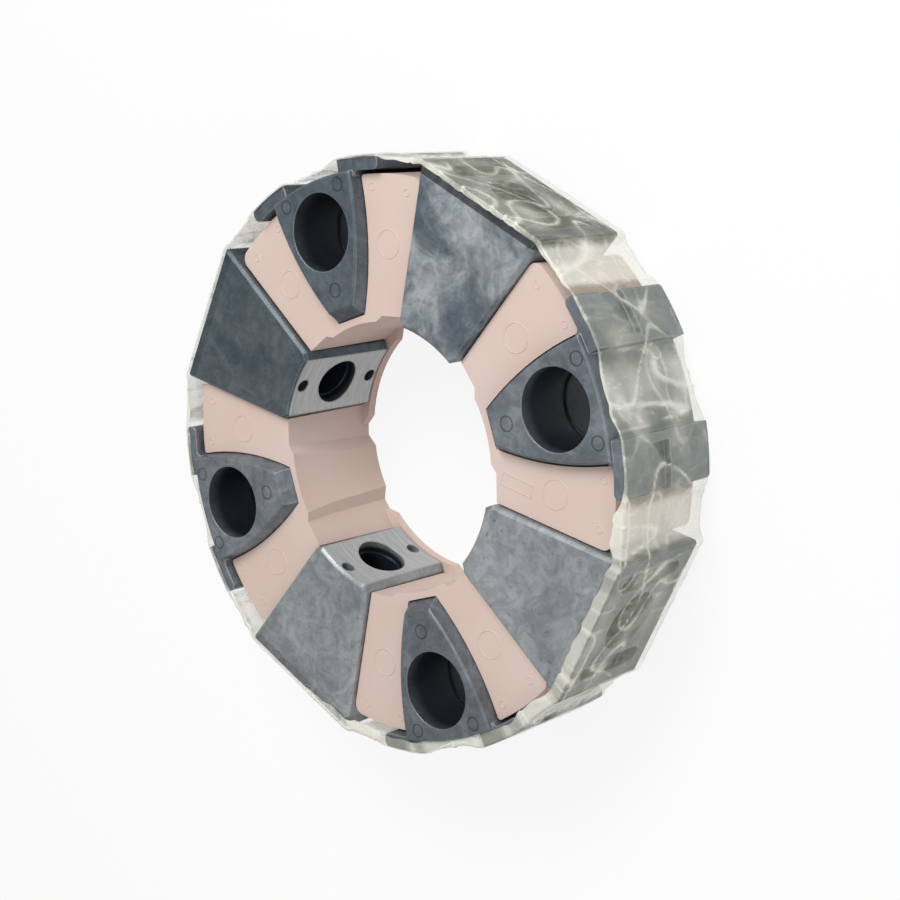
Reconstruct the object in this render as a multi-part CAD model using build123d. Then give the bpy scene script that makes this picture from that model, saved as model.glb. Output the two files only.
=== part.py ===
from build123d import *
import math
import os

os.makedirs("parts", exist_ok=True)

# Flexible coupling element set. It lies on its back face at z = 0, with the coupling's axis
# along +Z. Axial inserts sit every quarter turn from +X, and radial inserts half way between.
quarter = 90.0                      # turn from one insert to the next of its kind
half_quarter = quarter / 2

# Axial bores, which set the size of the whole set
bore_circle_radius = 100.0          # centres of the axial bores
axial_bore_radius = 16.7
core_step = 0.6                     # the rear half of the bore is narrower by this much
core_step_height = 30.5
outer_wall = 5.1                    # metal between an axial bore and the floor between the ears

# Outer faces of the axial inserts
valley_floor_radius = bore_circle_radius + axial_bore_radius + outer_wall
ear_floor_step = 0.3                # the ears' inner faces lie this much inside that floor
ear_inner_radius = valley_floor_radius - ear_floor_step
ear_thickness = 6.1
ear_outer_radius = ear_inner_radius + ear_thickness
ear_start_angle = 7.97
ear_tip_angle = 18.56
ear_set_back = 2.0                  # ears end this much behind the front face
ear_tip_round = 2.4
ear_root_round = 2.0
ear_recess_low = 26.5
ear_recess_high = 40.5
ear_recess_depth = 3.0
ear_recess_inset = 1.6              # degrees from the ear's start to its recess

# Moulded elastomer ring
ring_depth = 52.5                   # back face to front face
ear_gap = 1.7                       # between the legs' ends and the ears
leg_end_radius = ear_inner_radius - ear_gap
hub_seat_radius = 58.3              # pads and lips that bear on the hub
bevel_start = 36.0                  # height at which the inner face starts to lean in
pad_half_back = 10.0                # half width of a hub pad at the back
pad_half_middle = 11.5
pad_half_front = 13.6
valley_radius_back = hub_seat_radius + 3.9      # hollow beside each pad
valley_radius_middle = hub_seat_radius + 3.0
valley_radius_front = hub_seat_radius + 2.5
corner_radius_back = hub_seat_radius + 4.6      # inner corner of a leg beside a radial insert
corner_radius_middle = hub_seat_radius + 3.9
corner_radius_front = hub_seat_radius + 3.5
leg_corner_angle = 17.1             # from the middle of a radial insert to that corner
valley_slope = 5.6                  # width of the slope from pad to hollow at the back
lip_half_angle = 21.0               # lip behind a radial insert, measured from its middle
lip_slope_angle = 7.0
web_reach = 13.7                    # how far the web behind a radial insert reaches out from the lip
web_radius = hub_seat_radius + web_reach
leg_corner_round = 4.5
leg_mouth_round = 1.5

# Axial inserts and their pockets in the ring
axial_depth = 58.0                  # back face to front face
nose_wall = 2.9                     # elastomer between a pocket's flat inner end and the hub
pocket_nose_radius = hub_seat_radius + nose_wall
pocket_nose_half = 8.3
belly_inset = 5.8                   # where the pocket's curved side ends, inward from the legs' ends
pocket_belly_radius = leg_end_radius - belly_inset
pocket_belly_half = 25.8
pocket_side_radius = 135.0          # curve of the pocket's side
mouth_flare = 0.11                  # half width gained outward past the curved side
axial_gap = 0.6                     # between the pocket and the insert
bevel_height = 6.0                  # bevelled front of the insert
bevel_at_nose = 4.4
bevel_at_side = 1.1
bevel_nose_narrowing = 0.6
axial_edge_chamfer = 0.6

# Radial inserts and their pockets in the ring
block_back = 4.0                    # back face, seated on the ring's web
block_depth = 52.0
block_inset = 3.6                   # flat outer face, inward from the ears' outer faces
block_outer_distance = ear_outer_radius - block_inset
block_flank_slope = 0.26            # half width gained for each millimetre outward
block_flank_distance = 60.0
block_flank_half = 17.5             # half width at the distance above
seat_rise = 0.1                     # machined seat, outward from the lips
block_seat_radius = hub_seat_radius + seat_rise
block_seat_half = 14.2
block_bevel_depth = 1.0             # from the seat to where its cast bevel meets the flank
block_bevel_distance = block_seat_radius + block_bevel_depth
block_edge_chamfer = 1.3
block_corner_chamfer = 1.2
block_gap = 0.6                     # half width left between flank and pocket
radial_bore_radius = 10.3
radial_bore_entry_radius = 10.9
radial_bore_entry_depth = 5.0
mouth_radius = 14.0
mouth_depth = 4.0
pin_hole_radius = 3.0
pin_hole_offset = 21.0              # above and below the radial bore
pin_hole_depth = 14.0
rib_pocket_width = 9.0
rib_pocket_height = 38.0
rib_pocket_depth = 5.0
rib_pocket_offset = 22.0

# Clear tape round the outside
tape_clearance = 0.3
tape_thickness = 0.5
tape_bottom = 1.5
tape_top = 56.8

cut_margin = 5.0                    # how far a cutting shape runs past what it cuts


def polar(radius, degrees):
    """Point at a radius and an angle about the coupling's axis."""
    return (radius * math.cos(math.radians(degrees)), radius * math.sin(math.radians(degrees)))


def angle_of(half_width, radius):
    """Angle at which a radius is this far from the middle line."""
    return math.degrees(math.asin(half_width / radius))


def arc_about_axis(radius, start, end):
    """Arc about the coupling's axis between two angles."""
    return ThreePointArc(polar(radius, start), polar(radius, (start + end) / 2), polar(radius, end))


def reach_of(vertex):
    """Distance of a vertex from the coupling's axis."""
    return math.hypot(vertex.X, vertex.Y)


def angle_from(vertex, middle):
    """Angle between a vertex and a middle line, both seen from the coupling's axis."""
    angle = math.degrees(math.atan2(vertex.Y, vertex.X)) - middle
    return abs((angle + 180) % 360 - 180)


def sector_face(inner, outer, start, end):
    """Flat face between two radii and two angles."""
    return make_face([
        arc_about_axis(inner, start, end),
        Line(polar(inner, end), polar(outer, end)),
        arc_about_axis(outer, end, start),
        Line(polar(outer, start), polar(inner, start)),
    ])


def turned(shape, angle):
    """The shape turned about the coupling's axis."""
    return Rot(0, 0, angle) * shape


def wedge_face(nose, nose_half, belly, belly_half, outer):
    """Wedge outline on the +X axis: flat nose, curved sides, straight mouth."""
    mouth_half = belly_half + mouth_flare * (outer - belly)
    return make_face([
        Line((nose, -nose_half), (nose, nose_half)),
        RadiusArc((nose, nose_half), (belly, belly_half), pocket_side_radius),
        Line((belly, belly_half), (outer, mouth_half)),
        Line((outer, mouth_half), (outer, -mouth_half)),
        Line((outer, -mouth_half), (belly, -belly_half)),
        RadiusArc((belly, -belly_half), (nose, -nose_half), pocket_side_radius),
    ])


def block_half(distance):
    """Half width of a radial insert at a distance from the coupling's axis."""
    return block_flank_half + (distance - block_flank_distance) * block_flank_slope


def axial_insert():
    """Die-cast wedge with an axial bore and a pair of ears, pointing along +X."""
    nose = pocket_nose_radius + axial_gap
    nose_half = pocket_nose_half - axial_gap / 2
    belly_half = pocket_belly_half - axial_gap
    beyond = ear_outer_radius + cut_margin
    outline = wedge_face(nose, nose_half, pocket_belly_radius, belly_half, beyond)
    front_outline = wedge_face(
        nose + bevel_at_nose,
        nose_half - bevel_nose_narrowing,
        pocket_belly_radius,
        belly_half - bevel_at_side,
        beyond,
    )
    ears = Sketch() + [
        sector_face(ear_inner_radius, ear_outer_radius, start, end)
        for start, end in ((ear_start_angle, ear_tip_angle), (-ear_tip_angle, -ear_start_angle))
    ]
    tips = [v for v in ears.vertices() if angle_from(v, 0) > (ear_start_angle + ear_tip_angle) / 2]
    ears = fillet(tips, ear_tip_round)
    floor_disc = Circle(valley_floor_radius)
    plate = (outline & floor_disc) + ears
    roots = [v for v in plate.vertices() if abs(reach_of(v) - ear_inner_radius) < 0.01]
    plate = fillet([v for v in roots if angle_from(v, 0) < ear_tip_angle - 3], ear_root_round)
    rim_zone = plate - Circle(ear_inner_radius - ear_root_round)

    bevel_base = axial_depth - bevel_height
    wedge = extrude(outline, bevel_base)
    wedge += loft([Pos(0, 0, bevel_base) * outline, Pos(0, 0, axial_depth) * front_outline], ruled=True)
    wedge &= extrude(floor_disc, axial_depth)
    wedge = chamfer(wedge.edges().group_by(Axis.Z)[-1], axial_edge_chamfer)
    body = wedge + extrude(rim_zone, axial_depth - ear_set_back)

    bore_axis = Pos(bore_circle_radius, 0, 0)
    body -= bore_axis * extrude(Circle(axial_bore_radius - core_step), axial_depth)
    body -= bore_axis * Pos(0, 0, core_step_height) * extrude(Circle(axial_bore_radius), axial_depth)
    recess_start = ear_start_angle + ear_recess_inset
    for start, end in ((recess_start, half_quarter), (-half_quarter, -recess_start)):
        band = sector_face(ear_outer_radius - ear_recess_depth, ear_outer_radius + cut_margin, start, end)
        body -= Pos(0, 0, ear_recess_low) * extrude(band, ear_recess_high - ear_recess_low)
    return body


def radial_insert():
    """Die-cast block with a radial bore, its machined seat facing the hub, pointing along +X."""
    outer_half = block_half(block_outer_distance)
    bevel_half = block_half(block_bevel_distance)
    seat_angle = angle_of(block_seat_half, block_seat_radius)
    seat_top = polar(block_seat_radius, seat_angle)
    seat_bottom = polar(block_seat_radius, -seat_angle)
    outline = make_face([
        arc_about_axis(block_seat_radius, -seat_angle, seat_angle),
        Line(seat_top, (block_bevel_distance, bevel_half)),
        Line((block_bevel_distance, bevel_half), (block_outer_distance, outer_half)),
        Line((block_outer_distance, outer_half), (block_outer_distance, -outer_half)),
        Line((block_outer_distance, -outer_half), (block_bevel_distance, -bevel_half)),
        Line((block_bevel_distance, -bevel_half), seat_bottom),
    ])
    outer_corners = outline.vertices().group_by(Axis.X)[-1]
    outline = chamfer(outer_corners, block_corner_chamfer)
    block = extrude(outline, block_depth)
    rims = block.edges().group_by(Axis.Z)
    block = chamfer(rims[0] + rims[-1], block_edge_chamfer)

    middle = Pos(0, 0, block_depth / 2)
    outward = middle * Rot(0, 90, 0)
    entry_end = block_seat_radius + radial_bore_entry_depth
    mouth_start = block_outer_distance - mouth_depth
    block -= outward * extrude(Circle(radial_bore_radius), block_outer_distance + cut_margin)
    block -= outward * extrude(Circle(radial_bore_entry_radius), entry_end)
    block -= outward * Pos(0, 0, mouth_start) * extrude(Circle(mouth_radius), mouth_depth + cut_margin)
    for height in (-pin_hole_offset, pin_hole_offset):
        pin_hole = extrude(Circle(pin_hole_radius), block_seat_radius + pin_hole_depth)
        block -= Pos(0, 0, height) * outward * pin_hole
    rib_pocket = extrude(SlotOverall(rib_pocket_height, rib_pocket_width), rib_pocket_depth + cut_margin)
    for side in (-rib_pocket_offset, rib_pocket_offset):
        block -= outward * Pos(0, side, block_outer_distance - rib_pocket_depth) * rib_pocket
    return Pos(0, 0, block_back) * block


def hub_outline(height, pad_half, valley_radius, corner_radius):
    """Closed outline of the ring's inner face at one height."""
    pad_angle = angle_of(pad_half, hub_seat_radius)
    valley_angle = angle_of(pad_half + valley_slope * pad_half_back / pad_half, valley_radius)
    corner_angle = half_quarter - leg_corner_angle
    lines = []
    for turn in range(4):
        start = turn * quarter
        end = start + quarter
        lines += [
            arc_about_axis(hub_seat_radius, start - pad_angle, start + pad_angle),
            Line(polar(hub_seat_radius, start + pad_angle), polar(valley_radius, start + valley_angle)),
            Line(polar(valley_radius, start + valley_angle), polar(corner_radius, start + corner_angle)),
            arc_about_axis(corner_radius, start + corner_angle, end - corner_angle),
            Line(polar(corner_radius, end - corner_angle), polar(valley_radius, end - valley_angle)),
            Line(polar(valley_radius, end - valley_angle), polar(hub_seat_radius, end - pad_angle)),
        ]
    return Pos(0, 0, height) * make_face(lines)


def block_pocket():
    """Room for a radial insert between two legs, open outward and to the front."""
    inner = hub_seat_radius
    outer = leg_end_radius + cut_margin
    inner_half = block_half(inner) + block_gap
    outer_half = block_half(outer) + block_gap
    return make_face(Polyline(
        (inner, -inner_half), (outer, -outer_half), (outer, outer_half), (inner, inner_half), close=True,
    ))


def leg_profile():
    """Front outline of the ring before its inner face is cut: eight legs with rounded ends."""
    beyond = leg_end_radius + cut_margin
    axial_pocket = wedge_face(
        pocket_nose_radius,
        pocket_nose_half,
        pocket_belly_radius,
        pocket_belly_half,
        beyond,
    )
    profile = Sketch() + Circle(leg_end_radius)
    for turn in range(4):
        profile -= turned(axial_pocket, turn * quarter)
        profile -= turned(block_pocket(), turn * quarter + half_quarter)
    block_corner_angle = angle_of(block_half(leg_end_radius) + block_gap, leg_end_radius)
    axial_corner_angle = angle_of(pocket_belly_half, leg_end_radius)
    between = (block_corner_angle + half_quarter - axial_corner_angle) / 2
    for turn in range(4):
        middle = turn * quarter + half_quarter
        ends = [v for v in profile.vertices() if abs(reach_of(v) - leg_end_radius) < 0.01]
        profile = fillet([v for v in ends if angle_from(v, middle) < between], leg_corner_round)
        ends = [v for v in profile.vertices() if abs(reach_of(v) - leg_end_radius) < 0.01]
        mouths = [v for v in ends if between < angle_from(v, middle) < half_quarter]
        profile = fillet([v for v in mouths if angle_from(v, middle) > between + 2], leg_mouth_round)
    return profile


def back_web():
    """Thin web and lip behind a radial insert, with its ends sloping into the hollows."""
    root_radius = corner_radius_back + leg_mouth_round
    root_angle = lip_half_angle + lip_slope_angle
    return extrude(make_face([
        arc_about_axis(hub_seat_radius, -lip_half_angle, lip_half_angle),
        Line(polar(hub_seat_radius, lip_half_angle), polar(root_radius, root_angle)),
        Line(polar(root_radius, root_angle), polar(web_radius, lip_half_angle)),
        arc_about_axis(web_radius, lip_half_angle, -lip_half_angle),
        Line(polar(web_radius, -lip_half_angle), polar(root_radius, -root_angle)),
        Line(polar(root_radius, -root_angle), polar(hub_seat_radius, -lip_half_angle)),
    ]), block_back)


def elastomer_ring():
    """One moulded ring: legs joined by thin hub pads and by webs behind the radial inserts."""
    ring = extrude(leg_profile(), ring_depth)
    back = hub_outline(0, pad_half_back, valley_radius_back, corner_radius_back)
    middle = hub_outline(bevel_start, pad_half_middle, valley_radius_middle, corner_radius_middle)
    front = hub_outline(ring_depth, pad_half_front, valley_radius_front, corner_radius_front)
    ring -= loft([back, middle], ruled=True)
    ring -= loft([middle, front], ruled=True)
    for turn in range(4):
        ring += turned(back_web(), turn * quarter + half_quarter)
    return ring


def tape_wrap():
    """Clear tape stretched over the ears and the flat outer faces of the radial inserts."""
    block_corner = (block_outer_distance, block_half(block_outer_distance) - block_corner_chamfer / 2)
    block_reach = math.hypot(*block_corner)
    block_angle = math.degrees(math.atan2(block_corner[1], block_corner[0]))
    lines = []
    for turn in range(4):
        start = turn * quarter
        to_block = start + half_quarter - block_angle
        past_block = start + half_quarter + block_angle
        next_tip = start + quarter - ear_tip_angle
        next_start = start + quarter - ear_start_angle
        first_ear = polar(ear_outer_radius, start + ear_start_angle)
        lines += [
            Line(polar(ear_outer_radius, start - ear_start_angle), first_ear),
            arc_about_axis(ear_outer_radius, start + ear_start_angle, start + ear_tip_angle),
            Line(polar(ear_outer_radius, start + ear_tip_angle), polar(block_reach, to_block)),
            Line(polar(block_reach, to_block), polar(block_reach, past_block)),
            Line(polar(block_reach, past_block), polar(ear_outer_radius, next_tip)),
            arc_about_axis(ear_outer_radius, next_tip, next_start),
        ]
    stretched = make_face(lines)
    outside = offset(stretched, tape_clearance + tape_thickness)
    inside = offset(stretched, tape_clearance)
    return Pos(0, 0, tape_bottom) * extrude(outside - inside, tape_top - tape_bottom)


def write(name, shape):
    """Save one node, labelled with its name."""
    shape.label = name
    export_step(shape, f"parts/{name}.step")


write("elastomer_ring", elastomer_ring())
axial = axial_insert()
radial = radial_insert()
for number in range(1, 5):
    turn = (number - 1) * quarter
    write(f"axial_insert_{number}", turned(axial, turn))
    write(f"radial_insert_{number}", turned(radial, turn + half_quarter))
write("tape_wrap", tape_wrap())
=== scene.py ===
import math
import bpy
from mathutils import Euler, Matrix, Vector, noise


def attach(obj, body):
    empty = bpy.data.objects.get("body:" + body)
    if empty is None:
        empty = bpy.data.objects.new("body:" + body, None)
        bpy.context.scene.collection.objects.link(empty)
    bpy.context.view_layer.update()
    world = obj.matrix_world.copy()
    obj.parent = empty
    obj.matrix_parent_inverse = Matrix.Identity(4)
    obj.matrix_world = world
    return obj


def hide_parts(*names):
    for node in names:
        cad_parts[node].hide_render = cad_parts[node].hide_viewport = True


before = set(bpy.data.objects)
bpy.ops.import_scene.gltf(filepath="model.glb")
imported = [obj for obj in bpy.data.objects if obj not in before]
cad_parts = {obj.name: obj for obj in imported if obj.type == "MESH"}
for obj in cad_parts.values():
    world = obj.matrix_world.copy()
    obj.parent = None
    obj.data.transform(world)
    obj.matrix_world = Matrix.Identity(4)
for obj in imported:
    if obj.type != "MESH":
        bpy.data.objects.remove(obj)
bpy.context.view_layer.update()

print("frame loaded")

millimetre = 0.001
axialNodes = [f"axial_insert_{number}" for number in range(1, 5)]
radialNodes = [f"radial_insert_{number}" for number in range(1, 5)]


def mm(value):
    return value * millimetre


def link(thing):
    bpy.context.scene.collection.objects.link(thing)
    return thing


# The set lies on its back, and the camera is rolled so that it seems to stand on its rim.
view = {
    "place": (0.49822, -0.02229, 0.55085),
    "turn": (-11.331, 41.579, -19.106),    # degrees
    "lens": 66.23,
    "sensor": 36.0,
}


def addCamera():
    data = bpy.data.cameras.new("studioCamera")
    data.lens = view["lens"]
    data.sensor_width = view["sensor"]
    data.clip_start = 0.01
    camera = bpy.data.objects.new("studioCamera", data)
    camera.location = view["place"]
    camera.rotation_euler = Euler([math.radians(angle) for angle in view["turn"]])
    link(camera)
    bpy.context.scene.camera = camera


def addNode(tree, kind, place=(0, 0), **settings):
    node = tree.nodes.new(kind)
    node.location = place
    for name, value in settings.items():
        setattr(node, name, value)
    return node


def newMaterial(name):
    material = bpy.data.materials.new(name)
    material.use_nodes = True
    material.node_tree.nodes.clear()
    return material, material.node_tree


studio = {
    "floorSize": 6.0,
    "floorColour": (0.83, 0.83, 0.82),
    "floorWhiteness": 0.86,       # share of plain white in what the camera sees
    "skyBright": 0.72,
    "skyDark": 0.22,
    "keyPower": 10.5,
    "keyPlace": (0.35, 0.75, 0.85),
    "keySize": 0.7,
    "fillPower": 4.0,
    "fillPlace": (0.9, -0.7, 0.55),
    "fillSize": 0.9,
}


def cameraAndMirrorRays(tree):
    # 1 where the camera, a reflection or a clear film looks straight at the backdrop
    path = addNode(tree, "ShaderNodeLightPath", (-900, 300))
    first = addNode(tree, "ShaderNodeMath", (-700, 300), operation="MAXIMUM")
    second = addNode(tree, "ShaderNodeMath", (-500, 300), operation="MAXIMUM")
    tree.links.new(path.outputs["Is Camera Ray"], first.inputs[0])
    tree.links.new(path.outputs["Is Glossy Ray"], first.inputs[1])
    tree.links.new(first.outputs[0], second.inputs[0])
    tree.links.new(path.outputs["Is Transmission Ray"], second.inputs[1])
    return path, second.outputs[0]


def addStudio():
    scene = bpy.context.scene
    scene.view_settings.view_transform = "Standard"
    world = bpy.data.worlds.new("studioSky")
    scene.world = world
    world.use_nodes = True
    tree = world.node_tree
    tree.nodes.clear()
    path = addNode(tree, "ShaderNodeLightPath", (-900, 300))
    coordinates = addNode(tree, "ShaderNodeTexCoord", (-1100, 0))
    split = addNode(tree, "ShaderNodeSeparateXYZ", (-900, 0))
    ramp = addNode(tree, "ShaderNodeMapRange", (-700, 0))
    ramp.inputs["From Min"].default_value = -0.15
    ramp.inputs["From Max"].default_value = 0.9
    ramp.inputs["To Min"].default_value = studio["skyDark"]
    ramp.inputs["To Max"].default_value = studio["skyBright"]
    soft = addNode(tree, "ShaderNodeBackground", (-400, 0))
    plain = addNode(tree, "ShaderNodeBackground", (-400, 200))
    mix = addNode(tree, "ShaderNodeMixShader", (-200, 100))
    out = addNode(tree, "ShaderNodeOutputWorld", (0, 100))
    tree.links.new(coordinates.outputs["Generated"], split.inputs[0])
    tree.links.new(split.outputs["Z"], ramp.inputs["Value"])
    tree.links.new(ramp.outputs["Result"], soft.inputs["Strength"])
    tree.links.new(path.outputs["Is Camera Ray"], mix.inputs["Fac"])
    tree.links.new(soft.outputs[0], mix.inputs[1])
    tree.links.new(plain.outputs[0], mix.inputs[2])
    tree.links.new(mix.outputs[0], out.inputs["Surface"])

    half = studio["floorSize"] / 2
    mesh = bpy.data.meshes.new("paleFloor")
    corners = [(-half, -half, 0), (half, -half, 0), (half, half, 0), (-half, half, 0)]
    mesh.from_pydata(corners, [], [(0, 1, 2, 3)])
    floor = bpy.data.objects.new("paleFloor", mesh)
    floor.location.z = -mm(0.05)
    link(floor)
    material, tree = newMaterial("paleFloor")
    path, seen = cameraAndMirrorRays(tree)
    matte = addNode(tree, "ShaderNodeBsdfDiffuse", (-300, 0))
    matte.inputs["Color"].default_value = (*studio["floorColour"], 1)
    white = addNode(tree, "ShaderNodeEmission", (-300, 200))
    share = addNode(tree, "ShaderNodeMath", (-300, 380), operation="MULTIPLY")
    share.inputs[1].default_value = studio["floorWhiteness"]
    mix = addNode(tree, "ShaderNodeMixShader", (-100, 100))
    out = addNode(tree, "ShaderNodeOutputMaterial", (100, 100))
    tree.links.new(seen, share.inputs[0])
    tree.links.new(share.outputs[0], mix.inputs["Fac"])
    tree.links.new(matte.outputs[0], mix.inputs[1])
    tree.links.new(white.outputs[0], mix.inputs[2])
    tree.links.new(mix.outputs[0], out.inputs["Surface"])
    mesh.materials.append(material)

    for name in ("key", "fill"):
        data = bpy.data.lights.new(f"{name}Panel", "AREA")
        data.energy = studio[f"{name}Power"]
        data.shape = "DISK"
        data.size = studio[f"{name}Size"]
        panel = bpy.data.objects.new(f"{name}Panel", data)
        panel.location = studio[f"{name}Place"]
        aim = Vector((0, 0, mm(30))) - panel.location
        panel.rotation_euler = aim.to_track_quat("-Z", "Y").to_euler()
        link(panel)


addCamera()
addStudio()
print("camera and studio ready")


def smoothNoise(tree, source, scale, detail=2.0, roughness=0.5, place=(0, 0), distortion=0.0):
    node = addNode(tree, "ShaderNodeTexNoise", place)
    node.inputs["Scale"].default_value = scale
    node.inputs["Detail"].default_value = detail
    node.inputs["Roughness"].default_value = roughness
    node.inputs["Distortion"].default_value = distortion
    tree.links.new(source, node.inputs["Vector"])
    return node.outputs["Fac"]


def rescale(tree, source, low, high, outLow, outHigh, place=(0, 0)):
    node = addNode(tree, "ShaderNodeMapRange", place, interpolation_type="SMOOTHSTEP")
    node.inputs["From Min"].default_value = low
    node.inputs["From Max"].default_value = high
    node.inputs["To Min"].default_value = outLow
    node.inputs["To Max"].default_value = outHigh
    tree.links.new(source, node.inputs["Value"])
    return node.outputs["Result"]


def mathNode(tree, operation, first, second=None, place=(0, 0)):
    node = addNode(tree, "ShaderNodeMath", place, operation=operation)
    for index, value in enumerate((first, second)):
        if value is None:
            continue
        if isinstance(value, (int, float)):
            node.inputs[index].default_value = value
        else:
            tree.links.new(value, node.inputs[index])
    return node.outputs[0]


def mixColour(tree, factor, first, second, blend="MIX", place=(0, 0)):
    node = addNode(tree, "ShaderNodeMix", place, data_type="RGBA", blend_type=blend)
    for socket, value in ((node.inputs["Factor"], factor), (node.inputs[6], first), (node.inputs[7], second)):
        if isinstance(value, (int, float)):
            socket.default_value = value
        elif isinstance(value, tuple):
            socket.default_value = (*value, 1)
        else:
            tree.links.new(value, socket)
    return node.outputs[2]


def foldedPlace(tree, offsetAngle, place=(-1400, 0)):
    # distance along the nearest insert's middle line, distance beside it, and height
    coordinates = addNode(tree, "ShaderNodeTexCoord", place)
    mapping = addNode(tree, "ShaderNodeMapping", (place[0] + 180, place[1]))
    mapping.inputs["Rotation"].default_value = (0, 0, -math.radians(offsetAngle))
    split = addNode(tree, "ShaderNodeSeparateXYZ", (place[0] + 360, place[1]))
    tree.links.new(coordinates.outputs["Object"], mapping.inputs["Vector"])
    tree.links.new(mapping.outputs[0], split.inputs[0])
    across = mathNode(tree, "ABSOLUTE", split.outputs["X"])
    up = mathNode(tree, "ABSOLUTE", split.outputs["Y"])
    along = mathNode(tree, "MAXIMUM", across, up)
    beside = mathNode(tree, "MINIMUM", across, up)
    return coordinates.outputs["Object"], along, beside, split.outputs["Z"]


def distanceOf(tree, first, second):
    return mathNode(tree, "SQRT", mathNode(tree, "ADD", mathNode(tree, "POWER", first, 2.0),
                                           mathNode(tree, "POWER", second, 2.0)))


rubber = {
    "colour": (0.655, 0.525, 0.470),
    "warmer": (0.640, 0.490, 0.430),
    "cloudScale": 22.0,
    "roughness": 0.52,
    "grainScale": 900.0,
    "grainDepth": 0.00003,
}


def elastomerMaterial():
    material, tree = newMaterial("mouldedElastomer")
    shader = addNode(tree, "ShaderNodeBsdfPrincipled", (0, 0))
    out = addNode(tree, "ShaderNodeOutputMaterial", (300, 0))
    coordinates = addNode(tree, "ShaderNodeTexCoord", (-1400, 0))
    source = coordinates.outputs["Object"]
    cloud = rescale(tree, smoothNoise(tree, source, rubber["cloudScale"], 3.0), 0.3, 0.7, 0.0, 1.0)
    colour = mixColour(tree, cloud, rubber["colour"], rubber["warmer"])
    tree.links.new(colour, shader.inputs["Base Color"])
    shader.inputs["Roughness"].default_value = rubber["roughness"]
    shader.inputs["Specular IOR Level"].default_value = 0.35
    grain = smoothNoise(tree, source, rubber["grainScale"], 2.0)
    bump = addNode(tree, "ShaderNodeBump", (-200, -300))
    bump.inputs["Strength"].default_value = 0.5
    bump.inputs["Distance"].default_value = rubber["grainDepth"]
    tree.links.new(grain, bump.inputs["Height"])
    tree.links.new(bump.outputs[0], shader.inputs["Normal"])
    tree.links.new(shader.outputs[0], out.inputs["Surface"])
    return material


# Cast skin, shared by all the inserts. Places and radii are in millimetres.
casting = {
    "mottleScale": 30.0,
    "streakScale": 110.0,
    "pitScale": 420.0,
    "roughness": 0.40,
    "metallic": 0.45,
    "grainScale": 1400.0,
    "grainDepth": 0.00005,
    "edgeRound": 0.0011,
    # painted highlight: the lighter colour and its share along the rounded edges
    "edgeHighlightTone": (0.55, 0.57, 0.59),
    "edgeHighlightShare": 0.55,
    "boreTone": (0.018, 0.024, 0.034),
}
seat = {
    "reach": (58.7, 58.9),           # the milling ends between these radii
    "lineStretch": (60, 60, 700),
    "dark": (0.36, 0.37, 0.38),
    "light": (0.46, 0.47, 0.475),
}
axialFeatures = {
    "boreDistance": 100.0,
    "boreWall": (16.75, 16.9),
    "boreDepth": (50.0, 57.6),       # darker below this height, lighter towards the mouth
    "mouthShade": 0.45,
    "front": (57.0, 57.6),
    "pins": ((0.0, 74.5, 3.0), (16.5, 116.0, 2.8)),    # beside, along, radius
    "pinLine": (0.15, 0.55),
    "pinShade": 0.45,
}
radialFeatures = {
    "boreHeight": 30.0,
    "boreWall": (10.95, 11.05),
    "boreDepth": (59.2, 61.5),
    "band": (118.4, 118.9),          # the painted shade on the outer band of the front face starts here
}


def tone(base, pale, mottle, band=0.0):
    return {"base": base, "pale": pale, "mottle": mottle, "band": band}


# Each insert has its own cloudiness. The brightness of each insert's tone is painted light and shade, set by
# how the light falls on it, and each block has its own strength of painted shade on the outer band of its
# front face.
tonesAndShade = {
    "axial_insert_1": tone((0.150, 0.172, 0.198), (0.30, 0.33, 0.36), 0.45),
    "axial_insert_2": tone((0.085, 0.108, 0.130), (0.20, 0.23, 0.26), 0.35),
    "axial_insert_3": tone((0.160, 0.180, 0.205), (0.30, 0.33, 0.36), 0.50),
    "axial_insert_4": tone((0.120, 0.138, 0.155), (0.26, 0.29, 0.31), 0.50),
    "radial_insert_1": tone((0.110, 0.140, 0.170), (0.42, 0.45, 0.47), 0.95, 0.75),
    "radial_insert_2": tone((0.065, 0.088, 0.106), (0.16, 0.185, 0.205), 0.45, 0.25),
    "radial_insert_3": tone((0.255, 0.280, 0.300), (0.40, 0.42, 0.43), 0.75, 0.25),
    "radial_insert_4": tone((0.280, 0.305, 0.325), (0.42, 0.44, 0.45), 0.75, 0.40),
}


def fade(tree, source, span, outLow, outHigh):
    return rescale(tree, source, mm(span[0]), mm(span[1]), outLow, outHigh)


def edgeHighlight(tree):
    # 0 on flat skin, 1 where the surface turns sharply; the colour is lightened there as a painted highlight
    # along the rounded edges
    bent = addNode(tree, "ShaderNodeBevel", (-1200, -700), samples=6)
    bent.inputs["Radius"].default_value = casting["edgeRound"]
    flat = addNode(tree, "ShaderNodeNewGeometry", (-1200, -900))
    dot = addNode(tree, "ShaderNodeVectorMath", (-1000, -800), operation="DOT_PRODUCT")
    tree.links.new(bent.outputs[0], dot.inputs[0])
    tree.links.new(flat.outputs["Normal"], dot.inputs[1])
    return bent.outputs[0], rescale(tree, dot.outputs["Value"], 0.80, 0.985, 1.0, 0.0)


def pinShade(tree, along, beside, height):
    # darker rings round the ejector pins' marks, on the front face alone
    shade = None
    onFront = fade(tree, height, axialFeatures["front"], 0.0, 1.0)
    for across, reach, size in axialFeatures["pins"]:
        ring = distanceOf(tree, mathNode(tree, "SUBTRACT", along, mm(reach)),
                          mathNode(tree, "SUBTRACT", beside, mm(across)))
        line = mathNode(tree, "ABSOLUTE", mathNode(tree, "SUBTRACT", ring, mm(size)))
        line = fade(tree, line, axialFeatures["pinLine"], axialFeatures["pinShade"], 1.0)
        kept = addNode(tree, "ShaderNodeMix", (-500, 500), data_type="FLOAT")
        kept.inputs[2].default_value = 1.0
        tree.links.new(onFront, kept.inputs[0])
        tree.links.new(line, kept.inputs[3])
        shade = kept.outputs[0] if shade is None else mathNode(tree, "MULTIPLY", shade, kept.outputs[0])
    return shade


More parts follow.
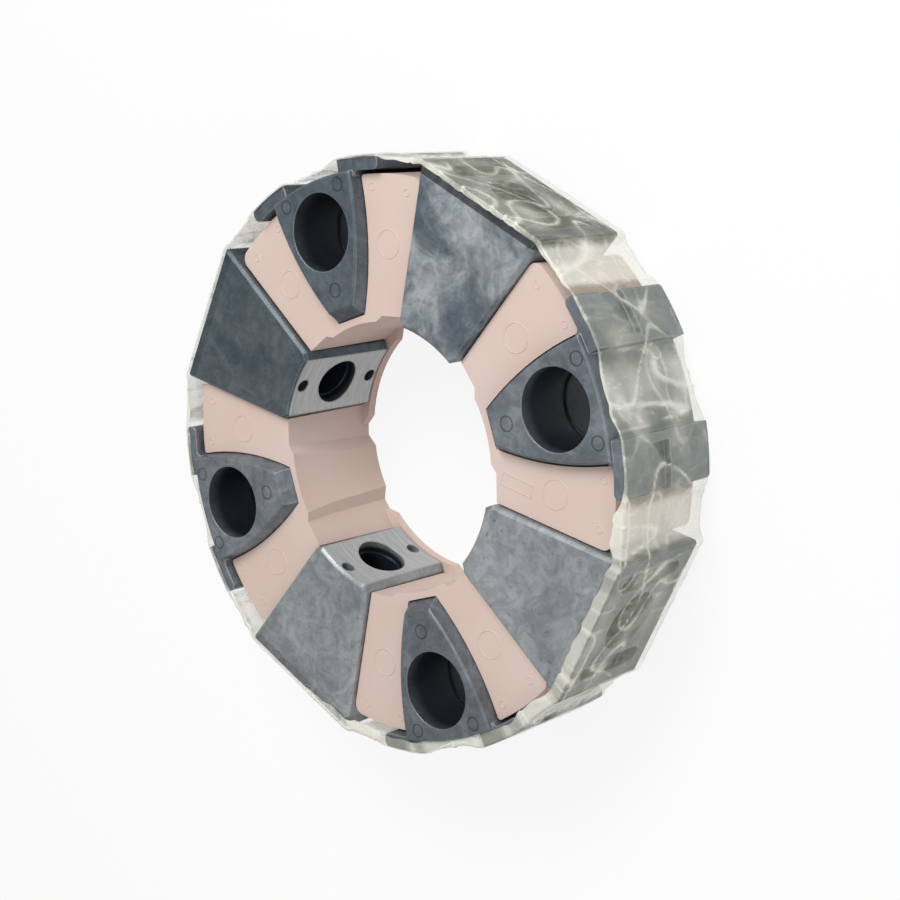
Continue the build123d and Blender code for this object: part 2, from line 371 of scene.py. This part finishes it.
def milledColour(tree, source, along, beside, colour):
    reach = distanceOf(tree, along, beside)
    milled = fade(tree, reach, seat["reach"], 1.0, 0.0)
    stretch = addNode(tree, "ShaderNodeMapping", (-1100, -500))
    stretch.inputs["Scale"].default_value = seat["lineStretch"]
    tree.links.new(source, stretch.inputs["Vector"])
    lines = smoothNoise(tree, stretch.outputs[0], 1.0, 3.0)
    lines = mixColour(tree, rescale(tree, lines, 0.3, 0.7, 0.0, 1.0), seat["dark"], seat["light"])
    return mixColour(tree, milled, colour, lines)


def boreShade(tree, along, beside, height, radial):
    if radial:
        offCentre = mathNode(tree, "SUBTRACT", height, mm(radialFeatures["boreHeight"]))
        inBore = fade(tree, distanceOf(tree, beside, offCentre), radialFeatures["boreWall"], 1.0, 0.0)
        deep = fade(tree, along, radialFeatures["boreDepth"], 0.0, 1.0)
    else:
        offCentre = mathNode(tree, "SUBTRACT", along, mm(axialFeatures["boreDistance"]))
        inBore = fade(tree, distanceOf(tree, offCentre, beside), axialFeatures["boreWall"], 1.0, 0.0)
        deep = fade(tree, height, axialFeatures["boreDepth"], 1.0, axialFeatures["mouthShade"])
    return mathNode(tree, "MULTIPLY", inBore, deep)


def castMaterial(name, seed, offsetAngle, radial):
    # the insert's tone: its brightness is painted light and shade
    finish = tonesAndShade[name]
    material, tree = newMaterial(f"cast{seed}")
    shader = addNode(tree, "ShaderNodeBsdfPrincipled", (0, 0))
    out = addNode(tree, "ShaderNodeOutputMaterial", (300, 0))
    source, along, beside, height = foldedPlace(tree, offsetAngle)
    shift = addNode(tree, "ShaderNodeVectorMath", (-1100, -200), operation="ADD")
    shift.inputs[1].default_value = (0.37 * seed, 0.21 * seed, 0.13 * seed)
    tree.links.new(source, shift.inputs[0])
    place = shift.outputs[0]
    patches = smoothNoise(tree, place, casting["mottleScale"], 5.0, 0.62, distortion=0.9)
    patches = rescale(tree, patches, 0.36, 0.66, 0.0, finish["mottle"])
    streaks = smoothNoise(tree, place, casting["streakScale"], 6.0, 0.7, distortion=1.4)
    fine = rescale(tree, streaks, 0.35, 0.68, 0.78, 1.18)
    pits = smoothNoise(tree, place, casting["pitScale"], 3.0, 0.6)
    pits = rescale(tree, pits, 0.62, 0.74, 1.0, 0.62)
    if radial:
        # painted shade: the outer band of each block's front face is darkened
        local = fade(tree, along, radialFeatures["band"], 1.0, 1.0 - finish["band"])
    else:
        local = pinShade(tree, along, beside, height)
    shade = mathNode(tree, "MULTIPLY", mathNode(tree, "MULTIPLY", fine, pits), local)
    skin = addNode(tree, "ShaderNodeVectorMath", (-500, 100), operation="SCALE")
    tree.links.new(mixColour(tree, patches, finish["base"], finish["pale"]), skin.inputs[0])
    tree.links.new(shade, skin.inputs["Scale"])
    # painted highlight: the colour turns lighter along the rounded edges
    bent, highlight = edgeHighlight(tree)
    highlight = mathNode(tree, "MULTIPLY", highlight, casting["edgeHighlightShare"])
    colour = mixColour(tree, highlight, skin.outputs[0], casting["edgeHighlightTone"])
    if radial:
        colour = milledColour(tree, source, along, beside, colour)
    bore = boreShade(tree, along, beside, height, radial)
    colour = mixColour(tree, bore, colour, casting["boreTone"])
    tree.links.new(colour, shader.inputs["Base Color"])
    rough = rescale(tree, streaks, 0.2, 0.8, casting["roughness"] - 0.08, casting["roughness"] + 0.12)
    tree.links.new(rough, shader.inputs["Roughness"])
    shader.inputs["Metallic"].default_value = casting["metallic"]
    bump = addNode(tree, "ShaderNodeBump", (-200, -300))
    bump.inputs["Strength"].default_value = 0.6
    bump.inputs["Distance"].default_value = casting["grainDepth"]
    grain = mathNode(tree, "ADD", smoothNoise(tree, place, casting["grainScale"], 2.0), streaks)
    tree.links.new(grain, bump.inputs["Height"])
    tree.links.new(bent, bump.inputs["Normal"])
    tree.links.new(bump.outputs[0], shader.inputs["Normal"])
    tree.links.new(shader.outputs[0], out.inputs["Surface"])
    return material


def dress(name, material):
    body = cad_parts[name]
    body.data.materials.clear()
    body.data.materials.append(material)


elastomer = elastomerMaterial()
dress("elastomer_ring", elastomer)
for index, name in enumerate(axialNodes):
    dress(name, castMaterial(name, index + 1, 0, False))
for index, name in enumerate(radialNodes):
    dress(name, castMaterial(name, index + 5, 45, True))
print("castings and elastomer dressed")


# Moulding marks stand as low rims on the front faces of the legs.
marks = {
    "frontHeight": 52.5,
    "wire": 0.32,
    "sunk": 0.12,                    # the rims' middles lie this far under the face
    "ringSteps": 40,
    "wireSteps": 8,
    "ejector": {"radius": 6.0, "distance": 91.0, "angles": (-20.3, 20.3)},
    "ventInner": {"radius": 1.5, "distance": 114.5, "angles": (-15.5, 15.5)},
    "ventOuter": {"radius": 1.5, "distance": 113.0, "angles": (-25.4, 25.4)},
    "slot": {"length": 15.5, "width": 4.8, "place": (67.4, -24.3), "tilt": -32.0, "sunk": 0.1, "rise": 0.22},
}


def addSocket(group, name, kind, value):
    socket = group.interface.new_socket(name=name, in_out="INPUT", socket_type=kind)
    if value is not None:
        socket.default_value = value
    return socket.identifier


def rimMarks(name, row):
    # low rings set out every quarter turn, at two angles beside each axial insert
    group = bpy.data.node_groups.new(name, "GeometryNodeTree")
    group.interface.new_socket(name="Geometry", in_out="OUTPUT", socket_type="NodeSocketGeometry")
    names = {
        "ringRadius": addSocket(group, "ringRadius", "NodeSocketFloat", 0.001),
        "wireRadius": addSocket(group, "wireRadius", "NodeSocketFloat", 0.001),
        "distance": addSocket(group, "distance", "NodeSocketFloat", 0.1),
        "angle": addSocket(group, "angle", "NodeSocketFloat", 0.0),
        "height": addSocket(group, "height", "NodeSocketFloat", 0.05),
        "finish": addSocket(group, "finish", "NodeSocketMaterial", None),
    }
    given = addNode(group, "NodeGroupInput", (-900, 0))
    out = addNode(group, "NodeGroupOutput", (900, 0))
    points = addNode(group, "GeometryNodePoints", (-400, 200))
    points.inputs["Count"].default_value = 4
    index = addNode(group, "GeometryNodeInputIndex", (-900, -200))
    turn = addNode(group, "ShaderNodeMath", (-700, -200), operation="MULTIPLY_ADD")
    turn.inputs[1].default_value = math.radians(90)
    group.links.new(index.outputs[0], turn.inputs[0])
    group.links.new(given.outputs["angle"], turn.inputs[2])
    place = addNode(group, "ShaderNodeCombineXYZ", (-300, -100))
    for axis, operation in (("X", "COSINE"), ("Y", "SINE")):
        wave = addNode(group, "ShaderNodeMath", (-600, -300), operation=operation)
        scaled = addNode(group, "ShaderNodeMath", (-450, -300), operation="MULTIPLY")
        group.links.new(turn.outputs[0], wave.inputs[0])
        group.links.new(wave.outputs[0], scaled.inputs[0])
        group.links.new(given.outputs["distance"], scaled.inputs[1])
        group.links.new(scaled.outputs[0], place.inputs[axis])
    group.links.new(given.outputs["height"], place.inputs["Z"])
    group.links.new(place.outputs[0], points.inputs["Position"])
    ring = addNode(group, "GeometryNodeCurvePrimitiveCircle", (-400, 500))
    ring.inputs["Resolution"].default_value = marks["ringSteps"]
    wire = addNode(group, "GeometryNodeCurvePrimitiveCircle", (-400, 700))
    wire.inputs["Resolution"].default_value = marks["wireSteps"]
    group.links.new(given.outputs["ringRadius"], ring.inputs["Radius"])
    group.links.new(given.outputs["wireRadius"], wire.inputs["Radius"])
    tube = addNode(group, "GeometryNodeCurveToMesh", (-200, 500))
    group.links.new(ring.outputs[0], tube.inputs["Curve"])
    group.links.new(wire.outputs[0], tube.inputs["Profile Curve"])
    copies = addNode(group, "GeometryNodeInstanceOnPoints", (0, 200))
    group.links.new(points.outputs[0], copies.inputs["Points"])
    group.links.new(tube.outputs[0], copies.inputs["Instance"])
    real = addNode(group, "GeometryNodeRealizeInstances", (300, 200))
    finish = addNode(group, "GeometryNodeSetMaterial", (600, 200))
    group.links.new(copies.outputs[0], real.inputs[0])
    group.links.new(real.outputs[0], finish.inputs["Geometry"])
    group.links.new(given.outputs["finish"], finish.inputs["Material"])
    group.links.new(finish.outputs[0], out.inputs[0])
    for side, angle in enumerate(row["angles"]):
        carrier = bpy.data.objects.new(f"{name}{side}", bpy.data.meshes.new(name))
        link(carrier)
        modifier = carrier.modifiers.new(name, "NODES")
        modifier.node_group = group
        modifier[names["ringRadius"]] = mm(row["radius"])
        modifier[names["wireRadius"]] = mm(marks["wire"])
        modifier[names["distance"]] = mm(row["distance"])
        modifier[names["angle"]] = math.radians(angle)
        modifier[names["height"]] = mm(marks["frontHeight"] - marks["sunk"])
        modifier[names["finish"]] = elastomer
        bpy.context.view_layer.update()
        graph = bpy.context.evaluated_depsgraph_get()
        baked = bpy.data.meshes.new_from_object(carrier.evaluated_get(graph))
        carrier.modifiers.clear()
        carrier.data = baked
        baked.polygons.foreach_set("use_smooth", [True] * len(baked.polygons))
        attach(carrier, "root")


for name in ("ejector", "ventInner", "ventOuter"):
    rimMarks(f"{name}Mark", marks[name])


def slotFrame():
    row = marks["slot"]
    rim = marks["wire"]
    base = mm(marks["frontHeight"] - row["sunk"])
    top = mm(marks["frontHeight"] + row["rise"])
    corners = []
    for grow, height in ((rim * 1.6, base), (rim, top), (0.0, top), (-rim * 0.6, base)):
        for sideX, sideY in ((1, 1), (-1, 1), (-1, -1), (1, -1)):
            along = mm(sideX * (row["length"] / 2 + grow))
            beside = mm(sideY * (row["width"] / 2 + grow))
            corners.append((along, beside, height))
    faces = []
    for ring in range(3):
        for corner in range(4):
            after = (corner + 1) % 4
            low, high = ring * 4, ring * 4 + 4
            faces.append((low + corner, high + corner, high + after, low + after)[::-1])
    turn = Matrix.Rotation(math.radians(row["tilt"]), 4, "Z")
    shift = Matrix.Translation((mm(row["place"][0]), mm(row["place"][1]), 0))
    mesh = bpy.data.meshes.new("slotFrame")
    mesh.from_pydata([shift @ turn @ Vector(corner) for corner in corners], [], faces)
    mesh.materials.append(elastomer)
    frameObject = bpy.data.objects.new("slotFrame", mesh)
    link(frameObject)
    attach(frameObject, "root")


slotFrame()
print("moulding marks placed")


# Clear film stretched round the outside, with folds, creases and a lap over the front edge.
# Lengths are in millimetres, and angles in degrees from the nearest axial insert.
film = {
    "aroundSteps": 720,
    "upSteps": 48,
    "lapSteps": 7,
    "bottom": 1.6,
    "top": 56.25,
    "thickness": 0.12,
    "clearance": 0.32,
    "earReach": 127.6,
    "earStart": 7.97,
    "earTip": 18.56,
    "blockDistance": 124.0,
    "blockHalf": 33.54,
    "boxReach": 127.05,
    "valleySag": 2.6,
    "spanSag": 2.4,
    "foldDepth": 0.75,
    "crinkleDepth": 0.10,
    "swellDepth": 0.25,
    "leastLift": 0.12,               # keeps the inner skin off what it is wrapped round
    "clear": (0.50, 0.52, 0.39),
    "milky": (0.93, 0.92, 0.83),
    "roughness": 0.13,
    "lapRise": 0.42,
    "lapRipple": 0.18,
}
# Cells of the film's noise: size round the ring, size in height, and a shift that sets them apart
cells = {
    "broad": (26, 30, (0, 0)),
    "upright": (11, 70, (3, 7)),
    "slanted": (24, 17, (9, 1)),
    "curved": (42, 38, (5, 2)),
    "crinkle": (3.2, 4.5, (0, 4)),
    "patch": (14, 12, (2, 8)),
    "speck": (2.1, 2.6, (1, 1)),
}
# How sharply each family of folds stands up, and how much of the fold height it takes
ridges = {
    "upright": {"sharpness": 9, "least": 0.35, "most": 0.65},
    "slanted": {"sharpness": 11, "height": 0.8},
    "curved": {"sharpness": 26, "height": 0.9},
}
# What makes the film hazy: 0 is clear and 1 is white
hazeShares = {
    "least": 0.10,
    "span": 0.42,
    "valley": 0.30,
    "flat": 0.10,
    "patch": 0.28,
    "fold": 0.5,
    "speck": 0.5,
    "clearPatch": 0.22,
    "speckStart": 0.35,
}
# Where the film laps over the front edge: angles where the lap starts, is full, ends being full
# and stops, and its depth. The first is the deepest and has the most ragged edge.
laps = (
    (222, 240, 336, 345, 4.4),
    (20, 32, 60, 68, 1.4),
    (150, 165, 205, 215, 1.8),
)
leastLap = 0.9
lapRaggedness = 1.1
cornerReach = math.hypot(film["blockDistance"], film["blockHalf"])
cornerAngle = 45 - math.degrees(math.atan2(film["blockHalf"], film["blockDistance"]))


def foldedAngle(angle):
    return abs((angle + 45) % 90 - 45)


def smoothStep(low, high, value):
    share = min(1.0, max(0.0, (value - low) / (high - low)))
    return share * share * (3 - 2 * share)


def outlineReach(angle):
    folded = foldedAngle(angle)
    if folded < film["earStart"]:
        return film["earReach"] * math.cos(math.radians(film["earStart"])) / math.cos(math.radians(folded))
    if folded < film["earTip"]:
        return film["earReach"]
    if folded < cornerAngle:
        whole = math.sin(math.radians(cornerAngle - film["earTip"]))
        first = film["earReach"] * math.sin(math.radians(folded - film["earTip"]))
        second = cornerReach * math.sin(math.radians(cornerAngle - folded))
        return film["earReach"] * cornerReach * whole / (first + second)
    return film["blockDistance"] / math.cos(math.radians(45 - folded))


def noiseAt(name, across, height):
    size, tall, shift = cells[name]
    return noise.noise(across / size + Vector((*shift, height / tall)))


def ridgeAt(name, across, height):
    # 1 along the thin lines where the noise changes sign
    return max(0.0, 1.0 - abs(noiseAt(name, across, height)) * ridges[name]["sharpness"]) ** 2


def filmPoint(angle, height):
    turn = math.radians(angle)
    across = Vector((math.cos(turn), math.sin(turn), 0)) * film["earReach"]
    folded = foldedAngle(angle)
    valley = 1.0 - smoothStep(film["earStart"] * 0.35, film["earStart"], folded)
    pastEar = smoothStep(film["earTip"], film["earTip"] + 2.5, folded)
    span = pastEar * (1 - smoothStep(cornerAngle - 2.5, cornerAngle, folded))
    flat = smoothStep(cornerAngle + 1, cornerAngle + 4, folded)
    back = 1.0 - height / film["top"]
    broad = noiseAt("broad", across, height)
    upright = ridgeAt("upright", across, height)
    slanted = ridgeAt("slanted", across, height)
    curved = ridgeAt("curved", across, height)
    crinkle = noiseAt("crinkle", across, height)
    sag = valley * film["valleySag"] * (0.7 + 0.5 * broad) + span * film["spanSag"] * (0.35 + 0.65 * back)
    fold = upright * (ridges["upright"]["least"] + ridges["upright"]["most"] * max(valley, span))
    fold += ridges["slanted"]["height"] * slanted * (0.5 + 0.5 * flat)
    fold += ridges["curved"]["height"] * curved
    loose = 0.35 + 0.65 * max(valley, span, 0.6 * flat)
    lift = film["clearance"] + film["foldDepth"] * fold * loose
    lift += film["crinkleDepth"] * crinkle + film["swellDepth"] * loose * (broad + 0.4)
    reach = outlineReach(angle) - sag + max(film["leastLift"], lift)
    widest = max(abs(math.cos(turn)), abs(math.sin(turn)))
    reach = min(reach, film["boxReach"] / widest)
    patch = noiseAt("patch", across, height)
    speck = max(0.0, noiseAt("speck", across, height) - hazeShares["speckStart"])
    haze = hazeShares["least"] + hazeShares["span"] * span
    haze += hazeShares["valley"] * valley + hazeShares["flat"] * flat
    haze += hazeShares["patch"] * max(0.0, patch) + hazeShares["fold"] * min(1.0, fold)
    haze += hazeShares["speck"] * speck
    haze -= hazeShares["clearPatch"] * max(0.0, -patch) * (1 - span)
    return reach, min(1.0, max(0.03, haze)), min(1.0, fold)


def lapDepth(angle):
    shares = [
        smoothStep(start, full, angle) * (1 - smoothStep(leaving, stop, angle))
        for start, full, leaving, stop, depth in laps
    ]
    turn = math.radians(angle)
    ragged = noise.noise(Vector((math.cos(turn), math.sin(turn), 0)) * 19)
    depth = leastLap + sum(share * lap[-1] for share, lap in zip(shares, laps))
    return depth + lapRaggedness * ragged * (0.3 + shares[0])


def addFilm(material):
    around, up, lap = film["aroundSteps"], film["upSteps"], film["lapSteps"]
    rows = up + lap
    outer, inner, hazes, creases = [], [], [], []
    for step in range(around):
        angle = step * 360 / around
        turn = math.radians(angle)
        topReach, topHaze, topFold = filmPoint(angle, film["top"])
        depth = max(0.4, lapDepth(angle))
        for row in range(rows):
            if row < up:
                height = film["bottom"] + (film["top"] - film["bottom"]) * row / (up - 1)
                reach, haze, fold = filmPoint(angle, height)
                inside = (reach - film["thickness"], height)
            else:
                share = (row - up + 1) / lap
                ripple = math.sin(share * 7 + angle * 0.9) * share
                height = film["top"] + film["lapRise"] + film["lapRipple"] * ripple
                reach = topReach - 0.25 - depth * share
                haze, fold = min(1.0, topHaze + 0.25), topFold
                inside = (reach, height - film["thickness"])
            for skin, (far, high) in ((outer, (reach, height)), (inner, inside)):
                skin.append((mm(far * math.cos(turn)), mm(far * math.sin(turn)), mm(high)))
            hazes.append(haze)
            creases.append(fold)
    total = around * rows
    faces = []
    for step in range(around):
        here, there = step * rows, (step + 1) % around * rows
        for row in range(rows - 1):
            faces.append((here + row, there + row, there + row + 1, here + row + 1))
            behindHere, behindThere = total + here + row, total + there + row
            faces.append((behindHere + 1, behindThere + 1, behindThere, behindHere))
        faces.append((here, total + here, total + there, there))
        last = rows - 1
        faces.append((there + last, total + there + last, total + here + last, here + last))
    mesh = bpy.data.meshes.new("packingFilm")
    mesh.from_pydata(outer + inner, [], faces)
    mesh.attributes.new("haze", "FLOAT", "POINT").data.foreach_set("value", hazes + hazes)
    mesh.attributes.new("crease", "FLOAT", "POINT").data.foreach_set("value", creases + creases)
    mesh.polygons.foreach_set("use_smooth", [True] * len(mesh.polygons))
    mesh.materials.append(material)
    sleeve = bpy.data.objects.new("packingFilm", mesh)
    link(sleeve)
    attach(sleeve, "root")
    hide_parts("tape_wrap")


def filmMaterial():
    material, tree = newMaterial("clearFilm")
    shader = addNode(tree, "ShaderNodeBsdfPrincipled", (0, 0))
    out = addNode(tree, "ShaderNodeOutputMaterial", (300, 0))
    coordinates = addNode(tree, "ShaderNodeTexCoord", (-1400, 0))
    source = coordinates.outputs["Object"]
    haze = addNode(tree, "ShaderNodeAttribute", (-1200, 300), attribute_name="haze").outputs["Fac"]
    crease = addNode(tree, "ShaderNodeAttribute", (-1200, 500), attribute_name="crease").outputs["Fac"]
    stretch = addNode(tree, "ShaderNodeMapping", (-1200, -200))
    stretch.inputs["Scale"].default_value = (1.0, 1.0, 0.35)
    tree.links.new(source, stretch.inputs["Vector"])
    scratch = smoothNoise(tree, stretch.outputs[0], 260.0, 6.0, 0.75, distortion=1.8)
    scratch = rescale(tree, scratch, 0.56, 0.72, 0.0, 0.30)
    cover = mathNode(tree, "ADD", mathNode(tree, "MULTIPLY", haze, 0.62), 0.05)
    alpha = mathNode(tree, "ADD", cover, scratch)
    white = rescale(tree, haze, 0.12, 0.55, 0.0, 1.0)
    white = mathNode(tree, "MAXIMUM", white, rescale(tree, crease, 0.2, 0.8, 0.0, 1.0))
    colour = mixColour(tree, white, film["clear"], film["milky"])
    tree.links.new(colour, shader.inputs["Base Color"])
    limit = addNode(tree, "ShaderNodeClamp", (-200, 300))
    limit.inputs["Max"].default_value = 0.93
    tree.links.new(alpha, limit.inputs["Value"])
    tree.links.new(limit.outputs[0], shader.inputs["Alpha"])
    shader.inputs["Roughness"].default_value = film["roughness"]
    shader.inputs["Specular IOR Level"].default_value = 0.9
    bump = addNode(tree, "ShaderNodeBump", (-200, -300))
    bump.inputs["Strength"].default_value = 0.5
    bump.inputs["Distance"].default_value = mm(0.4)
    wrinkle = smoothNoise(tree, stretch.outputs[0], 150.0, 4.0, 0.6, distortion=1.2)
    tree.links.new(wrinkle, bump.inputs["Height"])
    tree.links.new(bump.outputs[0], shader.inputs["Normal"])
    tree.links.new(shader.outputs[0], out.inputs["Surface"])
    return material


clearFilm = filmMaterial()
dress("tape_wrap", clearFilm)
addFilm(clearFilm)
print("film wrapped")
